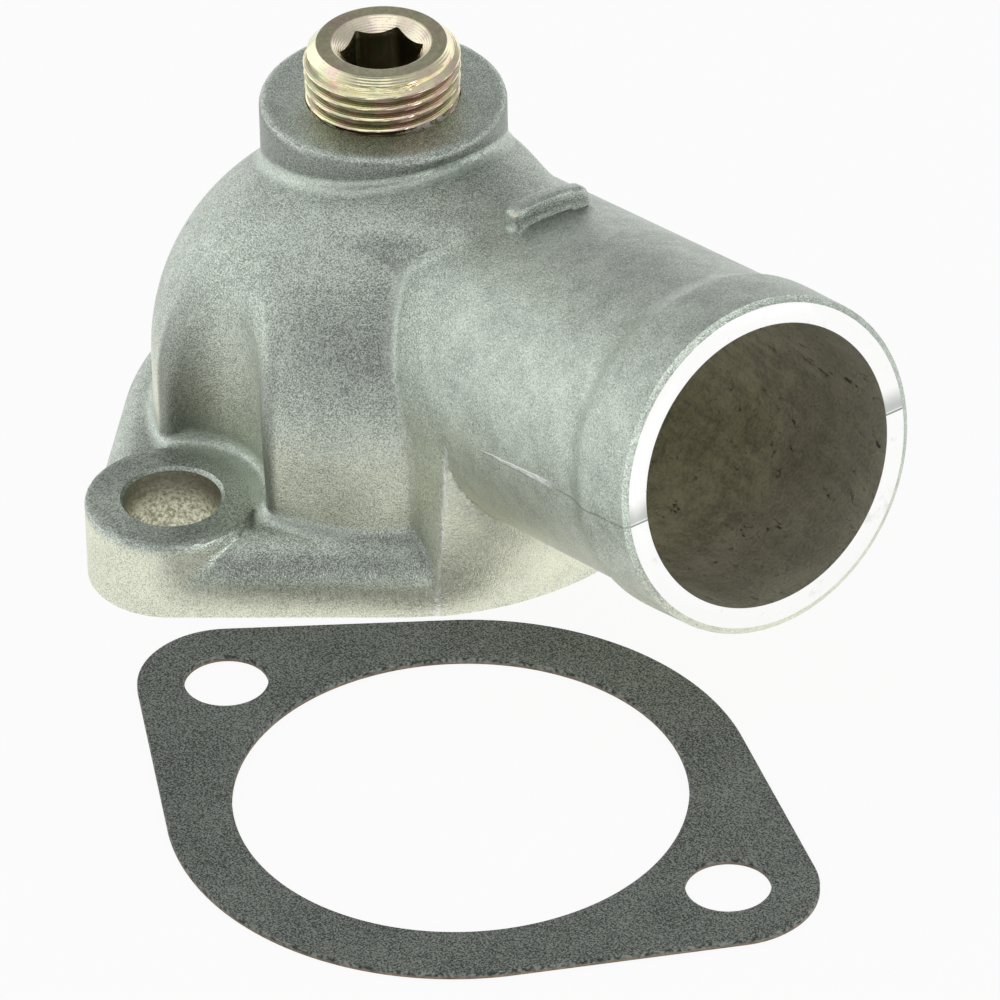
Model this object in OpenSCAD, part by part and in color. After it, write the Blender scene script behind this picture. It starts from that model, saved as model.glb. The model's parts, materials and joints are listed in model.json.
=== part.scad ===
// Thermostat housing: a cast water outlet with a bolted two-lobe flange, a domed water
// chamber, a hose spigot, a plugged sensor boss and its paper flange gasket.
// The flange centre on the mating face is the origin, the bolts lie along X and the
// spigot leaves along -Y. All lengths are in millimetres.

/* [Flange] */
// Distance between the two bolt centres
bolt_spacing = 64.7; // [63.5:0.1:67]
// Radius of the round part of the flange outline
flange_r = 31.1; // [30.4:0.05:32]
// Place of the round part behind the bolt line, away from the spigot
flange_y = 2.4; // [1.6:0.1:3]
// Radius of the lobe round each bolt
lobe_r = 9.5; // [8.8:0.05:10.5]
// Height of the flange rim
rim_h = 8.5; // [7:0.1:8.8]
// Rounding of the rim's outer top edge
rim_round = 3; // [1:0.1:4]
// Height of the bolt pads above the mating face
pad_h = 9.3; // [8.9:0.1:11]
// Rounding of the pads' outer top edge
pad_round = 0.8; // [0.3:0.1:1.5]
// Diameter of the bolt holes in the casting
bolt_hole_d = 10.6; // [8.5:0.1:11.5]
// Width of the chamfer at the top of each bolt hole
bolt_chamfer = 0.35; // [0.1:0.05:0.8]

/* [Dome] */
// Outer radius of the dome
dome_r = 25.2; // [24.7:0.05:25.6]
// Sideways place of the dome
dome_x = -3.2; // [-3.5:0.1:-2.5]
// Place of the dome away from the spigot
dome_y = 1.5; // [1.2:0.1:2]
// Height at which the dome's straight wall turns into a hemisphere
dome_spring = 16.1; // [15:0.1:17.5]
// Wall of the dome
dome_wall = 5; // [4.5:0.1:6]
// Radius of the seat at the mouth, which the gasket's port repeats
port_r = 24; // [23.8:0.05:24.5]
// Depth of the seat at the mouth
seat_h = 3; // [2:0.1:4]
// Radius of the spanner relief round each bolt
relief_r = 10.4; // [9.5:0.1:11]
// Fillet at the foot of the spanner relief
relief_fillet = 1.4; // [0.5:0.1:2.5]
// Wall left behind each spanner relief
relief_wall = 4; // [3:0.1:4.5]

/* [Spigot] */
// Outer radius of the spigot
spigot_r = 17.85; // [17.2:0.05:18.4]
// Wall of the spigot
spigot_wall = 2.25; // [1.8:0.05:3]
// Sideways place of the spigot's axis
spigot_x = 2.4; // [1.8:0.1:2.8]
// Height at which the spigot's axis crosses the flange axis
spigot_z = 20.4; // [19.8:0.1:22]
// Upward tilt of the spigot
spigot_tilt = 10.8; // [8:0.1:13]
// Length from the flange axis to the end of the spigot
spigot_reach = 61.5; // [56:0.1:70]
// Height of the hose bead
bead_h = 0.8; // [0.4:0.05:1.5]
// Distance from the crest of the bead to the spigot's end
bead_end = 6.2; // [5:0.1:8]
// Length of the ramp behind the bead
bead_ramp = 2.2; // [1:0.1:4]
// Flat on the crest of the bead
bead_flat = 1.2; // [0.6:0.1:2]
// Drop of the lead-in taper from the bead to the end face
lead_in = 0.85; // [0.5:0.05:1.4]
// Gap between the skirt's side and the spigot's side
skirt_inset = 0.2; // [0.1:0.05:1]

/* [Hose stop] */
// Width of the rib that stops the hose
stop_w = 9.6; // [6:0.1:14]
// Thickness of the rib along the spigot
stop_t = 2.4; // [1.5:0.1:4]
// Height of the rib above the spigot
stop_h = 2.7; // [1.5:0.1:4]
// Distance from the flange axis to the rib
stop_at = 23.2; // [20:0.1:28]
// Sideways place of the rib on the spigot
stop_x = 0.9; // [-2:0.1:2]

/* [Sensor boss] */
// Radius of the boss
boss_r = 13.4; // [12.5:0.05:14]
// Sideways place of the boss
boss_x = 1.1; // [0:0.1:2]
// Place of the boss away from the spigot
boss_y = 6.3; // [5:0.1:7.5]
// Height of the boss face
boss_top = 44.4; // [43:0.1:47]
// Rounding of the boss's top edge
boss_round = 1.3; // [0.5:0.1:2.5]

/* [Pipe plug] */
// Outer diameter of the plug's thread at its top
plug_d = 17.15; // [15:0.05:19]
// Height of the plug above the boss face
plug_proud = 6.7; // [5:0.05:8]
// Length of the plug
plug_len = 13.4; // [12:0.1:15]
// Pitch of the plug's thread
thread_pitch = 1.411; // [1:0.001:1.8]
// Depth of the plug's thread
thread_depth = 0.85; // [0.4:0.05:1]
// Width across the flats of the hexagon socket
hex_af = 7.94; // [6:0.01:9]
// Depth of the hexagon socket
hex_depth = 7; // [4:0.1:9]
// Diameter of the plug's top face
plug_face_d = 14.1; // [12:0.1:15]
// Height of the chamfer round the plug's top face
plug_chamfer = 1.6; // [0.8:0.1:2]
// Diameter of the countersink round the hexagon socket
socket_mouth_d = 10.8; // [10:0.1:11.5]
// Gap between the plug and its tapped hole
plug_gap = 0.05; // [0.02:0.01:0.2]

/* [Gasket] */
// Thickness of the gasket
gasket_t = 0.8; // [0.5:0.1:1.5]
// Diameter of the gasket's bolt holes
gasket_hole_d = 9; // [8:0.1:10]
// Direction from the flange centre to the gasket, where it lies
gasket_bearing = 239.9; // [230:0.1:248]
// Turn of the gasket about its own centre
gasket_turn = 108.7; // [100:0.1:118]
// Gap between the gasket and the flange
gasket_gap = 0.4; // [0.2:0.1:0.9]

/* [Hidden] */
$fn = 96;
slack = 0.5;
half_spacing = bolt_spacing / 2;
lobe_away = norm([half_spacing, flange_y]);
tangent_turn = acos((flange_r - lobe_r) / lobe_away);
tangent_len = lobe_away * sin(tangent_turn);
run_inset = 0.06;
run_band = 0.7 * lobe_r;
chamber_r = dome_r - dome_wall;
bore_r = spigot_r - spigot_wall;
skirt_half = spigot_r - skirt_inset;
bead_r = spigot_r + bead_h;
end_r = bead_r - lead_in;
relief_floor = pad_h - 0.2;
relief_top = dome_spring + dome_r;
plug_r = plug_d / 2;
plug_taper = 1 / 32;
plug_foot_r = plug_r - plug_len * plug_taper;
plug_top = boss_top + plug_proud;
hex_r = hex_af / 2 / cos(30);
socket_r = socket_mouth_d / 2;
gasket_apart = outline_reach(gasket_bearing)
    + outline_reach(gasket_bearing + 180 - gasket_turn) + gasket_gap;
cast_colour = [0.66, 0.67, 0.64];
plug_colour = [0.79, 0.72, 0.52];
paper_colour = [0.33, 0.35, 0.35];

// Copies its children to both bolt centres
module at_bolts()
    for (side = [-1, 1])
        translate([side * half_spacing, 0, 0])
            children();

// Half section of a disc with a rounded outer top edge, for turning
module rounded_half(r, h, edge) {
    square([r, h - edge]);
    square([r - edge, h]);
    translate([r - edge, h - edge])
        circle(edge, $fn = 48);
}

// Turn of the outline's straight run on one side of the bolt line
function run_turn(side, hand) =
    atan2(-flange_y, side * half_spacing) + side * hand * tangent_turn;

// How far the outline reaches in a direction
function outline_reach(bearing) =
    max(flange_r + flange_y * sin(bearing), half_spacing * abs(cos(bearing)) + lobe_r);

// Two-lobe outline that the flange and its gasket share
module flange_outline() {
    translate([0, flange_y])
        circle(flange_r);
    for (side = [-1, 1])
        translate([side * half_spacing, 0])
            circle(lobe_r);
    polygon([
        for (side = [1, -1], hand = [-side, side])
            let (turn = run_turn(side, hand),
                normal = [cos(turn), sin(turn)],
                on_rim = [0, flange_y] + flange_r * normal,
                on_lobe = [side * half_spacing, 0] + lobe_r * normal)
                each hand == side ? [on_lobe, on_rim] : [on_rim, on_lobe]
    ]);
}

// Bolt pad with the two straight runs that lead from the round rim to it
module flange_ear(side) {
    translate([side * half_spacing, 0, 0])
        rotate(side < 0 ? 180 : 0)
            rotate_extrude()
                rounded_half(lobe_r, pad_h, pad_round);
    for (hand = [1, -1])
        translate([0, flange_y, 0])
            rotate(run_turn(side, hand))
                mirror([0, side * hand > 0 ? 0 : 1, 0])
                    rotate([90, 0, 0])
                        linear_extrude(tangent_len)
                            intersection() {
                                rounded_half(flange_r - run_inset, rim_h, rim_round);
                                translate([flange_r - run_band, 0])
                                    square([run_band, rim_h]);
                            }
}

// Flange plate: the round rim and an ear at each bolt
module flange() {
    translate([0, flange_y, 0])
        rotate(90)
            rotate_extrude()
                rounded_half(flange_r, rim_h, rim_round);
    union()
        flange_ear(1);
    union()
        flange_ear(-1);
}

// Straight wall under a hemisphere, standing on the mating face
module domed_post(r) {
    rotate_extrude()
        intersection() {
            union() {
                square([r, dome_spring]);
                translate([0, dome_spring])
                    circle(r, $fn = 128);
            }
            square([r, dome_spring + r]);
        }
}

// Clearance for a spanner over each bolt, with a filleted foot
module reliefs() {
    at_bolts()
        translate([0, 0, relief_floor])
            rotate_extrude()
                union() {
                    translate([0, relief_fillet])
                        square([relief_r, relief_top]);
                    square([relief_r - relief_fillet, relief_fillet]);
                    translate([relief_r - relief_fillet, relief_fillet])
                        circle(relief_fillet, $fn = 48);
                }
}

// Places its children with their Z along the spigot's axis and their Y upwards
module on_spigot()
    translate([spigot_x, 0, spigot_z])
        rotate([90 - spigot_tilt, 0, 0])
            children();

// Turned outside of the spigot, with the hose bead and its lead-in
module spigot() {
    on_spigot()
        rotate_extrude()
            polygon([[0, 0], [spigot_r, 0],
                [spigot_r, spigot_reach - bead_end - bead_flat - bead_ramp],
                [bead_r, spigot_reach - bead_end - bead_flat],
                [bead_r, spigot_reach - bead_end],
                [end_r, spigot_reach], [0, spigot_reach]]);
}

// Web below the spigot that carries it down to the flange edge
module skirt() {
    intersection() {
        translate([0, flange_y, 0])
            cylinder(r = flange_r, h = spigot_z + spigot_reach);
        translate([spigot_x + skirt_half, 0, 0])
            rotate([90, 0, -90])
                linear_extrude(2 * skirt_half)
                    polygon([[0, 0], [flange_r + slack, 0],
                        [flange_r + slack, spigot_z + (flange_r + slack) * tan(spigot_tilt)],
                        [0, spigot_z]]);
    }
}

// Rib on top of the spigot that the hose butts against
module hose_stop() {
    on_spigot()
        translate([stop_x - stop_w / 2, bore_r + spigot_wall / 2, stop_at])
            cube([stop_w, spigot_wall / 2 + stop_h, stop_t]);
}

// Boss for the plug, with a rounded top edge
module boss() {
    translate([boss_x, boss_y, spigot_z])
        rotate_extrude()
            rounded_half(boss_r, boss_top - spigot_z, boss_round);
}

// Water chamber, drawn in where the reliefs cut the dome
module chamber() {
    difference() {
        union() {
            translate([dome_x, dome_y, 0])
                domed_post(chamber_r);
            translate([0, flange_y, -slack])
                cylinder(r = port_r, h = seat_h + slack);
        }
        at_bolts()
            translate([0, 0, relief_floor - relief_wall])
                cylinder(r = relief_r + relief_wall, h = relief_top);
    }
}

// Cast aluminium body of the housing
module housing_casting() {
    color(cast_colour)
        difference() {
            union() {
                flange();
                difference() {
                    translate([dome_x, dome_y, 0])
                        domed_post(dome_r);
                    reliefs();
                }
                skirt();
                spigot();
                hose_stop();
                boss();
            }
            chamber();
            on_spigot()
                cylinder(r = bore_r, h = spigot_reach + slack);
            at_bolts() {
                translate([0, 0, -slack])
                    cylinder(d = bolt_hole_d, h = pad_h + 2 * slack);
                translate([0, 0, pad_h - bolt_chamfer])
                    cylinder(r1 = bolt_hole_d / 2, r2 = bolt_hole_d / 2 + bolt_chamfer + slack,
                        h = bolt_chamfer + slack);
            }
            translate([boss_x, boss_y, dome_spring])
                cylinder(r = plug_r - (plug_proud + plug_gap) * plug_taper + plug_gap,
                    h = relief_top);
        }
}

// Threaded plug with a hexagon socket
module pipe_plug() {
    crests = floor((plug_len - plug_chamfer) / thread_pitch);
    color(plug_colour)
        translate([boss_x, boss_y, plug_top - plug_len])
            difference() {
                rotate_extrude()
                    polygon([[0, 0], [plug_foot_r - thread_depth, 0],
                        for (i = [0 : crests - 1])
                            each [[plug_foot_r + i * thread_pitch * plug_taper,
                                    (i + 0.5) * thread_pitch],
                                [plug_foot_r + i * thread_pitch * plug_taper - thread_depth,
                                    (i + 1) * thread_pitch]],
                        [plug_r - thread_depth / 2, plug_len - plug_chamfer],
                        [plug_face_d / 2, plug_len], [0, plug_len]]);
                translate([0, 0, plug_len - hex_depth])
                    cylinder(r = hex_r, h = hex_depth + slack, $fn = 6);
                translate([0, 0, plug_len - (socket_r - hex_af / 2)])
                    cylinder(r1 = hex_af / 2, r2 = socket_r + slack, h = socket_r - hex_af / 2 + slack);
            }
}

// Paper gasket, lying in front of the flange
module flange_gasket() {
    color(paper_colour)
        rotate(gasket_bearing)
            translate([gasket_apart, 0, 0])
                rotate(gasket_turn - gasket_bearing)
                    linear_extrude(gasket_t)
                        difference() {
                            flange_outline();
                            translate([0, flange_y])
                                circle(port_r);
                            for (side = [-1, 1])
                                translate([side * half_spacing, 0])
                                    circle(d = gasket_hole_d);
                        }
}

housing_casting();
pipe_plug();
flange_gasket();
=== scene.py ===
"""Thermostat housing: a cast aluminium water outlet, its threaded plug and its paper gasket."""

import json
import math

import bmesh
import bpy
import numpy as np
from bpy.props import FloatProperty, FloatVectorProperty, PointerProperty
from mathutils import Matrix, Vector


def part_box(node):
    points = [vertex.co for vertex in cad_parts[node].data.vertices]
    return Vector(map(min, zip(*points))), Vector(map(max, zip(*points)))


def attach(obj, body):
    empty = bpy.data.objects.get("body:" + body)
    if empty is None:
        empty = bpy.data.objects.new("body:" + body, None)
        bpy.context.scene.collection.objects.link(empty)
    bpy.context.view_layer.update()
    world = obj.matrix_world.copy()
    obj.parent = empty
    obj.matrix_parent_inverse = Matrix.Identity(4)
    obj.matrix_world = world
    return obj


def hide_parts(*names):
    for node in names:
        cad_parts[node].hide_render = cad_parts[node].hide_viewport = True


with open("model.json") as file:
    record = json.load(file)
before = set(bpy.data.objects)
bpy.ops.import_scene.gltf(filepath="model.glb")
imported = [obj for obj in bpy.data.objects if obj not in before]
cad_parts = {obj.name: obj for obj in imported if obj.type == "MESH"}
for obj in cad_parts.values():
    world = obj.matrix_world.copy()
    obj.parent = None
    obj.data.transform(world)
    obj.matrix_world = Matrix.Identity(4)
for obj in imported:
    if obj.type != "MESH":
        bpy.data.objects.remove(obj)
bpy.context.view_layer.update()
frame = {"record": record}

bl_info = {
    "name": "Thermostat housing",
    "version": (1, 0, 0),
    "blender": (4, 5, 0),
    "location": "3D View > Sidebar > Housing",
    "description": "Builds a cast thermostat housing with its plug and gasket, and the stage it stands on",
    "category": "Object",
}

MM = 0.001
MOUNTS = {mount["name"]: mount for mount in frame["record"]["mounts"]}
BOLTS = MOUNTS["flange_bolts"]["dims"]
PORT = MOUNTS["inlet_port"]
OUTLET = MOUNTS["outlet_bore"]
BEAD = MOUNTS["hose_bead"]
SHEET = MOUNTS["gasket_bolts"]
CASTING_LO, CASTING_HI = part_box("housing_casting")
PLUG_LO, PLUG_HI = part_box("pipe_plug")
SHEET_LO, SHEET_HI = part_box("flange_gasket")
HALF_SPACING = BOLTS["pcd_mm"] * MM / 2
FLANGE_Y = PORT["pos_m"][1]
PORT_R = PORT["dims"]["r_mm"] * MM
SEAT_H = PORT["dims"]["length_mm"] * MM
TILT = math.asin(OUTLET["axis"][2])
SPIGOT_X = OUTLET["pos_m"][0]
SPIGOT_REACH = OUTLET["dims"]["length_mm"] * MM
BORE_R = OUTLET["dims"]["r_mm"] * MM
BEAD_R = BEAD["dims"]["r_mm"] * MM
BEAD_LENGTH = BEAD["dims"]["length_mm"] * MM
PLUG_CENTRE = ((PLUG_LO[0] + PLUG_HI[0]) / 2.0, (PLUG_LO[1] + PLUG_HI[1]) / 2.0)
PLUG_R = 8.575 * MM
PLUG_TAPER = 1.0 / 32.0
FULL_TURN = 2.0 * math.pi
SIDES = (-1.0, 1.0)
CLEAR = 30.0 * MM
ABOVE = 60.0 * MM


def length(name, value, description):
    """A size in metres that a user may change."""
    return FloatProperty(name=name, description=description, default=value, min=0.0, precision=5,
                         unit="LENGTH", subtype="DISTANCE")


def place(name, value, description):
    """A coordinate in metres that a user may change."""
    return FloatProperty(name=name, description=description, default=value, precision=5,
                         unit="LENGTH", subtype="DISTANCE")


def angle(name, degrees, description):
    """A turn, given in degrees and held in radians."""
    return FloatProperty(name=name, description=description, default=math.radians(degrees),
                         unit="ROTATION", subtype="ANGLE")


def colour(name, value, description):
    """A linear colour that a user may change."""
    return FloatVectorProperty(name=name, description=description, default=value, size=3,
                               min=0.0, max=1.0, subtype="COLOR")


def amount(name, value, description):
    """A plain number that a user may change."""
    return FloatProperty(name=name, description=description, default=value, min=0.0)


class CastingSizes(bpy.types.PropertyGroup):
    """Sizes of the cast body."""

    bolt_half: length("Half bolt spacing", HALF_SPACING, "Distance from the flange centre to a bolt")
    bolt_hole_r: length("Bolt hole radius", BOLTS["hole_r_mm"] * MM, "Radius of the holes through the pads")
    bolt_chamfer: length("Bolt hole chamfer", 0.35 * MM, "Width of the chamfer at the top of a bolt hole")
    flange_r: length("Flange radius", CASTING_HI[1] - FLANGE_Y, "Radius of the flange's round part")
    flange_y: place("Flange centre", FLANGE_Y, "Place of the round part behind the bolt line")
    lobe_r: length("Lobe radius", (CASTING_HI[0] - CASTING_LO[0]) / 2 - HALF_SPACING,
                   "Radius of the lobe round each bolt")
    rim_h: length("Rim height", 8.5 * MM, "Height of the flange rim")
    rim_round: length("Rim rounding", 5.2 * MM, "Rounding of the rim's outer top edge")
    pad_h: length("Pad height", 9.3 * MM, "Height of the bolt pads")
    pad_round: length("Pad rounding", 0.55 * MM, "Rounding of the pads' outer top edge")
    dome_r: length("Dome radius", 25.2 * MM, "Outer radius of the dome")
    dome_x: place("Dome sideways", -3.2 * MM, "Sideways place of the dome")
    dome_y: place("Dome back", 1.5 * MM, "Place of the dome away from the spigot")
    dome_spring: length("Dome spring", 16.1 * MM, "Height where the straight wall turns into a hemisphere")
    dome_foot: length("Dome foot fillet", 1.3 * MM, "Fillet between the dome and the rim")
    chamber_r: length("Chamber radius", 20.2 * MM, "Radius of the water chamber")
    relief_r: length("Relief radius", 10.4 * MM, "Radius of the spanner relief round each bolt")
    relief_foot: length("Relief foot fillet", 1.1 * MM, "Fillet at the foot of a relief")
    relief_edge: length("Relief edge rounding", 1.6 * MM, "Rounding where a relief runs out of the dome")
    relief_draft: amount("Relief draft", 0.04, "How far a relief narrows for each unit of height")
    relief_wall: length("Relief wall", 4.0 * MM, "Wall left behind a relief")
    spigot_r: length("Spigot radius", 17.85 * MM, "Outer radius of the spigot")
    spigot_z: place("Spigot height", 20.4 * MM, "Height where the spigot's axis crosses the flange axis")
    spigot_root: length("Spigot root fillet", 0.45 * MM, "Fillet between the spigot and the dome")
    spigot_blend: length("Spigot top blend", 7.0 * MM, "Fillet between the top of the spigot and the dome")
    bead_ramp: length("Bead ramp", 3.4 * MM, "Length of the ramp behind the hose bead")
    bead_end: length("Bead to end", 6.2 * MM, "Length of the lead-in taper")
    end_drop: length("Lead-in drop", 0.15 * MM, "Drop of the lead-in taper before the end's chamfer")
    end_chamfer: length("End chamfer", 0.7 * MM, "Width of the as-cast chamfer round the end face")
    end_slope: length("End chamfer length", 0.35 * MM, "Length of the chamfer along the spigot")
    skirt_inset: length("Skirt inset", 0.2 * MM, "Gap between the skirt's side and the spigot's side")
    skirt_fillet: length("Skirt fillet", 0.5 * MM, "Fillet round the skirt")
    skirt_lean: amount("Skirt lean", 0.09, "How far the skirt's front leans out for each unit of height")
    stop_w: length("Hose stop width", 9.6 * MM, "Width of the rib that stops the hose")
    stop_t: length("Hose stop thickness", 2.4 * MM, "Thickness of the rib along the spigot")
    stop_h: length("Hose stop height", 2.2 * MM, "Height of the rib above the spigot")
    stop_at: length("Hose stop place", 23.2 * MM, "Distance from the flange axis to the rib")
    stop_x: place("Hose stop sideways", 0.9 * MM, "Sideways place of the rib on the spigot")
    boss_r: length("Boss radius", 13.4 * MM, "Radius of the sensor boss")
    boss_top: length("Boss top", 44.4 * MM, "Height of the boss face")
    boss_round: length("Boss rounding", 0.9 * MM, "Rounding of the boss's top edge")
    boss_foot: length("Boss foot fillet", 0.75 * MM, "Fillet between the boss and the dome")
    cell: length("Skin cell", 0.6 * MM, "Size of the cells that the cast skin is drawn with")


class PlugSizes(bpy.types.PropertyGroup):
    """Sizes of the threaded plug."""

    chamfer: length("Chamfer height", 1.6 * MM, "Height of the chamfer round the plug's face")
    face_r: length("Face radius", 7.05 * MM, "Radius of the plug's flat face")
    pitch: length("Thread pitch", 1.411 * MM, "Pitch of the thread")
    depth: length("Thread depth", 0.85 * MM, "Depth of the thread")
    mouth_r: length("Socket mouth", 5.4 * MM, "Radius of the countersink round the socket")
    hex_half: length("Half across flats", 3.97 * MM, "Half of the width across the socket's flats")
    hex_depth: length("Socket depth", 7.0 * MM, "Depth of the hexagon socket")
    hex_turn: angle("Socket turn", 32.3, "Turn of the plug's socket about the boss")
    taper: amount("Taper", PLUG_TAPER, "Fall of the thread's radius for each unit of length")


class GasketSizes(bpy.types.PropertyGroup):
    """Sizes and place of the paper gasket."""

    turn: angle("Turn", 108.7, "Turn of the gasket about its own centre")
    hole_r: length("Bolt hole radius", SHEET["dims"]["hole_r_mm"] * MM, "Radius of the gasket's bolt holes")
    edge: length("Edge rounding", 0.07 * MM, "Softening of the cut edge")


class FinishColours(bpy.types.PropertyGroup):
    """Colours of the finishes."""

    cast_pale: colour("Cast, pale", (0.72, 0.795, 0.71), "Pale tone of the blasted casting")
    cast_dark: colour("Cast, dark", (0.265, 0.295, 0.262), "Dark tone of the blasted casting")
    # Painted light: pale warm tone laid on low faces that look down or sideways, for light thrown up from
    # the floor.
    cast_warm: colour("Cast, warm", (0.94, 0.94, 0.74), "Tone of the casting near the flange's foot")
    # Also the tone of the painted shade in corners, round the boss's foot and on the reliefs' flanks.
    cast_pit: colour("Cast pits", (0.07, 0.075, 0.065), "Tone of pits and sand marks")
    machined: colour("Machined", (0.99, 0.99, 0.98), "Bare metal of the machined faces")
    bore_pale: colour("Bore, pale", (0.92, 0.88, 0.68), "Pale tone of the cored passage")
    bore_dark: colour("Bore, dark", (0.36, 0.345, 0.26), "Dark tone of the cored passage")
    bore_stain: colour("Bore stain", (0.17, 0.168, 0.13), "Stain towards the mouth of the passage")
    # Painted light: streaky pale tone deep in the passage.
    bore_worn: colour("Bore, worn", (0.97, 0.95, 0.78), "Worn streaks deep in the passage")
    bore_pit: colour("Bore pits", (0.012, 0.011, 0.009), "Pits of the cored passage")
    bore_grain: colour("Bore grain", (0.50, 0.48, 0.37), "Bright grains of the cored passage")
    hole_pale: colour("Bolt hole, pale", (0.98, 0.97, 0.78), "Pale grains of a bolt hole's wall")
    hole_dark: colour("Bolt hole, dark", (0.33, 0.325, 0.22), "Dark grains of a bolt hole's wall")
    # Painted shade: darker tone at the top of a bolt hole's wall.
    hole_top: colour("Bolt hole top", (0.16, 0.155, 0.12), "Dirt at the top of a bolt hole")
    zinc: colour("Zinc", (1.0, 0.94, 0.64), "Main tone of the yellow zinc plate")
    zinc_pink: colour("Zinc, pink", (0.95, 0.76, 0.64), "Pink bloom of the zinc plate")
    zinc_green: colour("Zinc, green", (0.72, 0.80, 0.54), "Green bloom of the zinc plate")
    # Painted shade: dark olive and pink tones laid in the thread's valleys.
    zinc_valley: colour("Zinc valleys", (0.07, 0.075, 0.03), "Olive tone of the thread's valleys")
    zinc_blush: colour("Zinc valleys, pink", (0.20, 0.11, 0.085), "Pink tone of the thread's valleys")
    zinc_face: colour("Plug face", (0.27, 0.26, 0.17), "Dull face of the plug")
    zinc_mouth: colour("Plug countersink", (0.96, 0.86, 0.76), "Bright countersink of the socket")
    # Painted shade: dark tone deep in the socket.
    zinc_socket: colour("Plug socket", (0.22, 0.215, 0.13), "Dark walls of the socket")
    zinc_dust: colour("Zinc dust", (0.40, 0.38, 0.28), "Dull specks on the plate")
    sealant: colour("Sealant", (0.86, 0.87, 0.85), "Thread sealant left at the plug's foot")
    paper_pale: colour("Paper, pale", (0.30, 0.325, 0.295), "Pale flecks of the gasket paper")
    paper_dark: colour("Paper, dark", (0.05, 0.057, 0.051), "Dark ground of the gasket paper")
    paper_fleck: colour("Paper flecks", (0.36, 0.37, 0.34), "Brightest flecks of the gasket paper")
    paper_edge: colour("Paper edge", (0.42, 0.33, 0.25), "Cut edge of the gasket paper")
    paper_core: colour("Paper edge, dark", (0.14, 0.11, 0.085), "Dark layers in the cut edge")


class StageSettings(bpy.types.PropertyGroup):
    """Camera and light."""

    camera_at: FloatVectorProperty(name="Camera place", description="Where the camera stands", size=3,
                                   default=(-0.560655, -0.80773, 0.68636), subtype="TRANSLATION",
                                   unit="LENGTH")
    yaw: angle("Camera yaw", 35.2816, "Turn of the view to the right of the spigot's line")
    pitch: angle("Camera pitch", 35.128, "Fall of the view below the horizon")
    roll: angle("Camera roll", -1.3221, "Roll of the view")
    lens: FloatProperty(name="Lens", description="Focal length in millimetres", default=393.836)
    horizon: amount("Horizon light", 1.15, "Brightness of the sweep round the horizon")
    upper: amount("Upper light", 0.42, "Brightness of the studio above the sweep")
    zenith: amount("Zenith light", 0.62, "Brightness of the studio overhead")
    front: amount("Front shade", 0.5, "How far the studio darkens behind the camera")
    back: amount("Back light", 0.30, "Brightness that the sweep gains behind at the left")
    key: amount("Key lamp", 0.5, "Power of the soft box overhead, in watts")
    side: amount("Side lamp", 0.45, "Power of the soft box behind at the left, in watts")
    fill: amount("Fill lamp", 2.2, "Power of the low soft box in front of the spigot, in watts")


class HousingSettings(bpy.types.PropertyGroup):
    """Everything that a user would change."""

    casting: PointerProperty(name="Casting", description="Sizes of the cast body", type=CastingSizes)
    plug: PointerProperty(name="Plug", description="Sizes of the threaded plug", type=PlugSizes)
    gasket: PointerProperty(name="Gasket", description="Sizes of the paper gasket", type=GasketSizes)
    finish: PointerProperty(name="Finish", description="Colours of the finishes", type=FinishColours)
    stage: PointerProperty(name="Stage", description="Camera and light", type=StageSettings)


class Wire:
    """A node's output socket that adds Math nodes when it is used in an expression."""

    def __init__(self, net, socket):
        self.net = net
        self.socket = socket

    def math(self, operation, *others, flip=False):
        terms = [self, *others]
        if flip:
            terms.reverse()
        return self.net.node("ShaderNodeMath", {"operation": operation}, dict(enumerate(terms)))

    def __add__(self, other):
        return self.math("ADD", other)

    def __radd__(self, other):
        return self.math("ADD", other, flip=True)

    def __sub__(self, other):
        return self.math("SUBTRACT", other)

    def __rsub__(self, other):
        return self.math("SUBTRACT", other, flip=True)

    def __mul__(self, other):
        return self.math("MULTIPLY", other)

    def __rmul__(self, other):
        return self.math("MULTIPLY", other, flip=True)

    def __truediv__(self, other):
        return self.math("DIVIDE", other)

    def __rtruediv__(self, other):
        return self.math("DIVIDE", other, flip=True)

    def __abs__(self):
        return self.math("ABSOLUTE")

    def __pow__(self, other):
        return self.math("POWER", other)

    def least(self, other):
        return self.math("MINIMUM", other)

    def most(self, other):
        return self.math("MAXIMUM", other)

    def rise(self, low, high):
        """Zero below low, one above high and smooth between; falls where low is above high."""
        ends = (0.0, 1.0) if low < high else (1.0, 0.0)
        values = {0: self, 1: min(low, high), 2: max(low, high), 3: ends[0], 4: ends[1]}
        return self.net.node("ShaderNodeMapRange", {"interpolation_type": "SMOOTHSTEP"}, values)


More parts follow.
